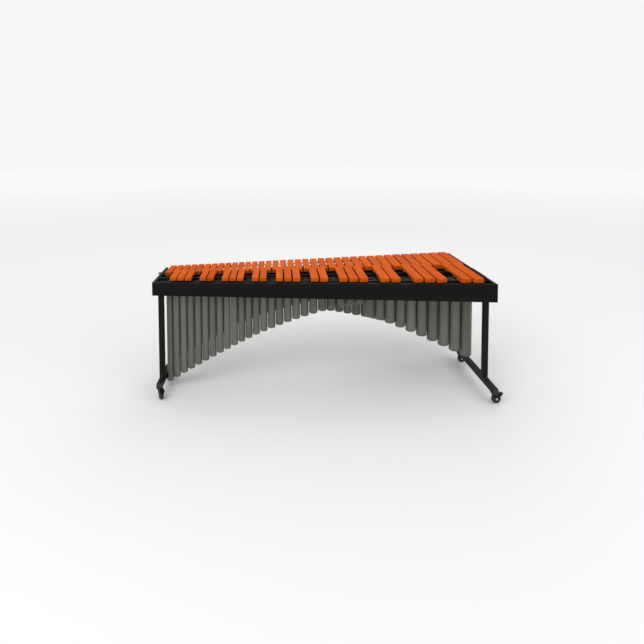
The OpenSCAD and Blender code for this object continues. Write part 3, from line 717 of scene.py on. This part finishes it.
def screw_head(bm, place, outward, r, h):
    """A button head with a six-sided socket, on a washer."""
    washer = [(r * 1.45, 0), (r * 1.45, 0.9 * MM), (r * 1.38, WASHER_T), (r * 0.9, 1.2 * MM)]
    head = [(r, WASHER_T), (r, WASHER_T + h * 0.35), (r * 0.9, WASHER_T + h * 0.72),
            (r * 0.68, WASHER_T + h), (r * 0.42, WASHER_T + h)]
    socket = [(r * 0.42, WASHER_T + h), (r * 0.38, WASHER_T + h * 0.25), (0, WASHER_T + h * 0.2)]
    lathe(bm, washer, place, outward, segments=36)
    lathe(bm, head, place, outward, segments=36)
    lathe(bm, socket, place, outward, segments=6)


def rail_screws():
    """The bolts through both end panels into the rails, with their heads outside."""
    head_h = 3.5 * MM
    shank = [(4 * MM, 0), (4 * MM, 60 * MM), (3 * MM, 61 * MM), (0, 61 * MM)]
    bm = bmesh.new()
    for lo, hi in islands("rail_bolts"):
        side = 1 if lo.x + hi.x > 0 else -1
        middle = (lo + hi) / 2
        face = hi.x - head_h if side > 0 else lo.x + head_h
        place = Vector((face, middle.y, middle.z))
        screw_head(bm, place, Vector((side, 0, 0)), 6 * MM, 3 * MM)
        lathe(bm, shank, place, Vector((-side, 0, 0)), segments=20)
    piece("rail_screws", bm, "steel", "rail_bolts", ("rail_bolts",), flat_faces=False)


def foot_plugs(stand):
    """A moulded plug in each open end of a foot bar."""
    lo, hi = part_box(stand + "_foot_bar")
    bm = bmesh.new()
    for y, side in ((lo.y, -1), (hi.y, 1)):
        middle = Vector(((lo.x + hi.x) / 2, y, (lo.z + hi.z) / 2))
        half = (hi.x - lo.x) / 2 - 0.6 * MM
        outline = [(sx * (half - c[0]), sz * (half - c[1]))
                   for sx, sz, c in corner_turns(4 * MM)]
        prism(bm, outline, lambda u, v, w, m=middle, s=side: m + Vector((u, s * w, v)),
              -1 * MM, 2.6 * MM)
    bmesh.ops.recalc_face_normals(bm, faces=bm.faces)
    round_edges(bm, 1.2 * MM, shortest=0.2 * MM, sharp=50)
    piece(stand + "_foot_plugs", bm, "knob", stand + "_foot_bar")


def corner_turns(r, steps=4):
    """The four rounded corners of a square, as signs and the distances in from its sides."""
    turns = []
    for sx, sz, first in ((1, 1, 0), (-1, 1, 1), (-1, -1, 0), (1, -1, 1)):
        for i in range(steps + 1):
            a = math.pi / 2 * (steps - i if first else i) / steps
            turns.append((sx, sz, (r - r * math.cos(a), r - r * math.sin(a))))
    return turns


def knob_grip(name, back, axis):
    """A hand knob with five soft lobes, on a round collar."""
    def lobe(angle):
        return 1.0 + 0.12 * math.cos(5 * angle)

    r = 14.6 * MM
    front_r = r - 3.4 * MM
    profile = [(0, 0.3 * MM), (r * 0.62, 0.3 * MM), (r * 0.80, 0.6 * MM)]
    profile += arc(r - 3 * MM, 3.4 * MM, 3 * MM, -60, 0, 4)
    profile += arc(front_r, 8.6 * MM, 3.4 * MM, 0, 75, 5)
    profile += [(r * 0.62, 12.2 * MM), (r * 0.50, 12.0 * MM), (r * 0.47, 11.2 * MM),
                (0, 11.2 * MM)]
    collar = [(0, -COLLAR_L), (8.4 * MM, -COLLAR_L), (9 * MM, -7.2 * MM), (9 * MM, -1 * MM),
              (8.6 * MM, 0.6 * MM), (0, 0.6 * MM)]
    bm = bmesh.new()
    lathe(bm, profile, back, axis, segments=80, lobe=lobe)
    lathe(bm, collar, back, axis, segments=40)
    piece(name + "_hand_knob", bm, "knob", name + "_knob", (name + "_knob",), flat_faces=False)


def clamp_screw(name, back, axis, start):
    """The knob's threaded screw, and the metal cap in the middle of the knob."""
    screw_r, thread_depth, half_pitch = 4 * MM, 0.45 * MM, 0.6 * MM
    cap = [(6.2 * MM, 11.0 * MM), (6.2 * MM, 11.9 * MM), (5.4 * MM, 12.5 * MM), (0, 12.9 * MM)]
    count = int((-COLLAR_L - start) / half_pitch)
    thread = [(screw_r - (thread_depth if i % 2 else 0.0), start + i * half_pitch)
              for i in range(count)]
    bm = bmesh.new()
    lathe(bm, cap, back, axis, segments=36)
    screw = [(0, start)] + thread + [(screw_r, -COLLAR_L), (0, -7.5 * MM)]
    lathe(bm, screw, back, axis, segments=24)
    piece(name + "_clamp_screw", bm, "steel", name + "_knob", flat_faces=False)


def knob(name):
    """A clamp knob and its screw, behind a post."""
    lo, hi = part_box(name + "_knob")
    middle = (lo + hi) / 2
    axis = Vector((0, 1, 0))
    back = Vector((middle.x, hi.y - GRIP_L, middle.z))
    knob_grip(name, back, axis)
    clamp_screw(name, back, axis, lo.y - back.y)


def build_frame():
    rounded("front_apron", 2.2 * MM, "frame_black")
    for side in ("bass", "treble"):
        rounded(side + "_end_panel", 2.0 * MM, "frame_black", shortest=9 * MM)
    for row in ("accidental", "natural"):
        for place in ("front", "rear"):
            rounded(f"{row}_{place}_rail", 1.5 * MM, "rail_black", shortest=12 * MM)
    rounded("cross_braces", 0.8 * MM, "rail_black")
    rounded("resonator_hangers", 0.6 * MM, "dark_steel", shortest=2 * MM)
    rounded("natural_cord_posts", 0.45 * MM, "rail_black", shortest=1.2 * MM)
    rounded("accidental_cord_posts", 0.45 * MM, "rail_black", shortest=1.2 * MM)
    rail_screws()


def build_stands():
    for stand in ("bass", "treble"):
        rounded(stand + "_foot_bar", 2.5 * MM, "stand_black", shortest=9 * MM)
        foot_plugs(stand)
    for post in ("bass_front", "bass_rear", "treble"):
        rounded(post + "_post", 1.6 * MM, "stand_black", shortest=3.4 * MM)
        rounded(post + "_inner_post", 1.0 * MM, "steel", shortest=4 * MM)
        knob(post)


# ---------------------------------------------------------------- casters

TYRE_INNER_R = 23.5 * MM
AXLE_HOLE_R = 5.06 * MM


def turning(name):
    """The centre and axis that a caster's wheel rolls on, and half of its hub's width."""
    joint = JOINTS[name + "_roll"]
    centre, axis = Vector(joint["pos_m"]), Vector(joint["axis"]).normalized()
    return centre, axis, reach(name + "_wheel", centre, axis)


def tyre(name, middle, axis, half):
    """A rubber tyre with rounded shoulders and two shallow grooves."""
    radius = middle.z
    side = [(TYRE_INNER_R, half - 1.2 * MM), (TYRE_INNER_R + 2 * MM, half), (radius - 5 * MM, half)]
    side += arc(radius - 5 * MM, half - 5 * MM, 5 * MM, 80, 15, 6)
    groove = [(radius, 3.4 * MM), (radius - 0.9 * MM, 3.0 * MM), (radius - 0.9 * MM, 2.2 * MM),
              (radius, 1.8 * MM)]
    top = side + groove
    profile = [(r, -a) for r, a in top] + [(r, a) for r, a in reversed(top)]
    profile.append((TYRE_INNER_R, -half + 1.2 * MM))
    bm = bmesh.new()
    lathe(bm, profile, middle, axis, segments=72)
    piece(name + "_tyre", bm, "rubber", name + "_wheel", (name + "_wheel",), flat_faces=False)


def hub(name, middle, axis, half):
    """A moulded hub with a thin web and eight ribs on each side of it."""
    one_side = [(TYRE_INNER_R, half - 2 * MM), (21 * MM, 4 * MM), (11.6 * MM, 5 * MM),
                (11 * MM, half), (10 * MM, half + 1 * MM), (AXLE_HOLE_R, half + 1 * MM)]
    profile = [(r, -a) for r, a in reversed(one_side)] + one_side
    profile.append(profile[0])
    rib = [(10.5 * MM, -half + 1.5 * MM), (22.8 * MM, -half + 3.5 * MM),
           (22.8 * MM, half - 3.5 * MM), (10.5 * MM, half - 1.5 * MM)]
    ribs, half_rib = 8, 0.9 * MM
    bm = bmesh.new()
    lathe(bm, profile, middle, axis, segments=60)
    u, v, w = basis(axis)
    for i in range(ribs):
        a = math.tau * i / ribs
        out = u * math.cos(a) + v * math.sin(a)
        across = w.cross(out)
        prism(bm, rib, lambda r, s, t, o=out, c=across: middle + o * r + w * s + c * t,
              -half_rib, half_rib)
    piece(name + "_hub", bm, "hub", name + "_wheel", flat_faces=False)


def wheel(name):
    """A caster's tyre and hub."""
    middle, axis, hub_half = turning(name)
    half = hub_half - 1 * MM
    tyre(name, middle, axis, half)
    hub(name, middle, axis, half)


def race_and_nuts(name):
    """The nuts on the axle, and the swivel's ball race round the kingpin."""
    middle, axis, hub_half = turning(name)
    cheek = hub_half + 4 * MM
    washer = [(9.4 * MM, cheek), (9.4 * MM, cheek + 0.8 * MM), (7.4 * MM, cheek + 0.9 * MM)]
    nut = [(7.6 * MM, cheek + 0.8 * MM), (8.0 * MM, cheek + 1.2 * MM),
           (8.0 * MM, cheek + 3 * MM), (7.4 * MM, cheek + 3.6 * MM), (0, cheek + 3.6 * MM)]
    race = [(16 * MM, 76.5 * MM), (19.4 * MM, 77 * MM), (20.5 * MM, 78.5 * MM),
            (20.5 * MM, 80 * MM), (19 * MM, 81.4 * MM), (17 * MM, 81.8 * MM),
            (16.6 * MM, 83 * MM), (14 * MM, 84.4 * MM), (12 * MM, 84.6 * MM)]
    bm = bmesh.new()
    for side in (-1, 1):
        lathe(bm, washer, middle, axis * side, segments=32)
        lathe(bm, nut, middle, axis * side, segments=6)
    kingpin = Vector(JOINTS[name + "_swivel"]["pos_m"])
    kingpin.z = 0
    lathe(bm, race, kingpin)
    piece(name + "_race_and_nuts", bm, "steel", name + "_fork", flat_faces=False)


def build_casters():
    for name in CASTERS:
        wheel(name)
        rounded(name + "_fork", 0.5 * MM, "stand_black", shortest=1.5 * MM)
        race_and_nuts(name)
        rounded(name + "_brake", 0.7 * MM, "stand_black", shortest=1.5 * MM)


# ---------------------------------------------------------------- studio

FLOOR_R = 40.0


def studio_floor():
    """A wide pale floor, darker near the middle where the lamps light it and paler far away: painted light that
    evens out its brightness, so that it meets the plain background softly.
    """
    s = Shader("floor", (0.80, 0.80, 0.80), 0.9)
    place = s.node("ShaderNodeTexCoord").outputs["Object"]
    away = s.node("ShaderNodeVectorMath", {0: place}, operation="LENGTH").outputs["Value"]
    # Painted light: the colour grows paler with distance, making up for the lamps' light that falls near the
    # middle
    base = s.ramp(s.maths("MULTIPLY", away, 1 / FLOOR_R),
                  [(0.04, 0.76), (0.15, 0.86), (0.5, 0.98)])
    s.finish(Base_Color=base, Specular_IOR_Level=0.0)
    bm = bmesh.new()
    lathe(bm, [(0, 0), (4.0, 0), (12.0, 0), (FLOOR_R, 0)], Vector((0, 0, 0)), segments=96)
    floor = mesh_object("floor", bm)
    floor.data.materials.append(s.mat)


def softbox(name, place, aim, size, power):
    """A rectangular lamp that the camera doesn't see."""
    light = bpy.data.lights.new(name, "AREA")
    light.shape = "RECTANGLE"
    light.size, light.size_y = size
    light.energy = power
    obj = bpy.data.objects.new(name, light)
    obj.location = place
    obj.rotation_euler = (Vector(aim) - Vector(place)).to_track_quat("-Z", "Y").to_euler()
    obj.visible_camera = False
    bpy.context.scene.collection.objects.link(obj)


def studio_world():
    """A dome that is brighter overhead lights the scene, and the camera sees plain white."""
    white = (1.0, 1.0, 1.0, 1)
    world = bpy.data.worlds.new("studio")
    bpy.context.scene.world = world
    world.use_nodes = True
    nodes, link = world.node_tree.nodes, world.node_tree.links.new
    dome = nodes["Background"]
    dome.inputs["Color"].default_value = white
    backdrop = nodes.new("ShaderNodeBackground")
    backdrop.inputs["Color"].default_value = white
    backdrop.inputs["Strength"].default_value = 0.93
    height = nodes.new("ShaderNodeSeparateXYZ")
    link(nodes.new("ShaderNodeTexCoord").outputs["Generated"], height.inputs[0])
    level = nodes.new("ShaderNodeMapRange")
    level.inputs["To Min"].default_value = 0.30
    level.inputs["To Max"].default_value = 1.30
    link(height.outputs["Z"], level.inputs["Value"])
    link(level.outputs["Result"], dome.inputs["Strength"])
    either = nodes.new("ShaderNodeMixShader")
    link(nodes.new("ShaderNodeLightPath").outputs["Is Camera Ray"], either.inputs[0])
    link(dome.outputs[0], either.inputs[1])
    link(backdrop.outputs[0], either.inputs[2])
    link(either.outputs[0], nodes["World Output"].inputs["Surface"])


def studio_lights():
    """A key light from the left, a fill from the right and a soft light from behind."""
    softbox("key", (-2.6, -3.4, 4.2), (0, 0, 0.6), (3.2, 2.4), 80)
    softbox("fill", (3.6, -2.6, 2.8), (0.2, 0, 0.5), (2.6, 2.2), 30)
    softbox("back", (0.6, 4.2, 3.6), (0, 0, 0.6), (4.0, 1.8), 25)


def camera():
    """The drawing's viewpoint: from the left of the middle, above the bars, with upright verticals."""
    data = bpy.data.cameras.new("camera")
    data.sensor_width = 36
    data.lens = 26.11
    data.shift_y = -0.239
    data.clip_end = 60
    obj = bpy.data.objects.new("camera", data)
    yaw, pitch = math.radians(5.3255), math.radians(2.909)
    look = Vector((math.sin(yaw) * math.cos(pitch), math.cos(yaw) * math.cos(pitch),
                   -math.sin(pitch)))
    obj.location = (-0.3505, -3.9246, 2.0004)
    obj.rotation_euler = look.to_track_quat("-Z", "Y").to_euler()
    bpy.context.scene.collection.objects.link(obj)
    bpy.context.scene.camera = obj


def carried_over():
    """CAD nodes that stay as they are get their materials."""
    for name, obj in NODES.items():
        if obj.hide_render:
            continue
        slots = obj.data.materials
        slots[0] = MATS[slots[0].name]


bpy.context.scene.view_settings.view_transform = "Standard"
camera()
studio_floor()
studio_world()
studio_lights()
build_bars()
build_banks()
build_frame()
build_stands()
build_casters()
carried_over()
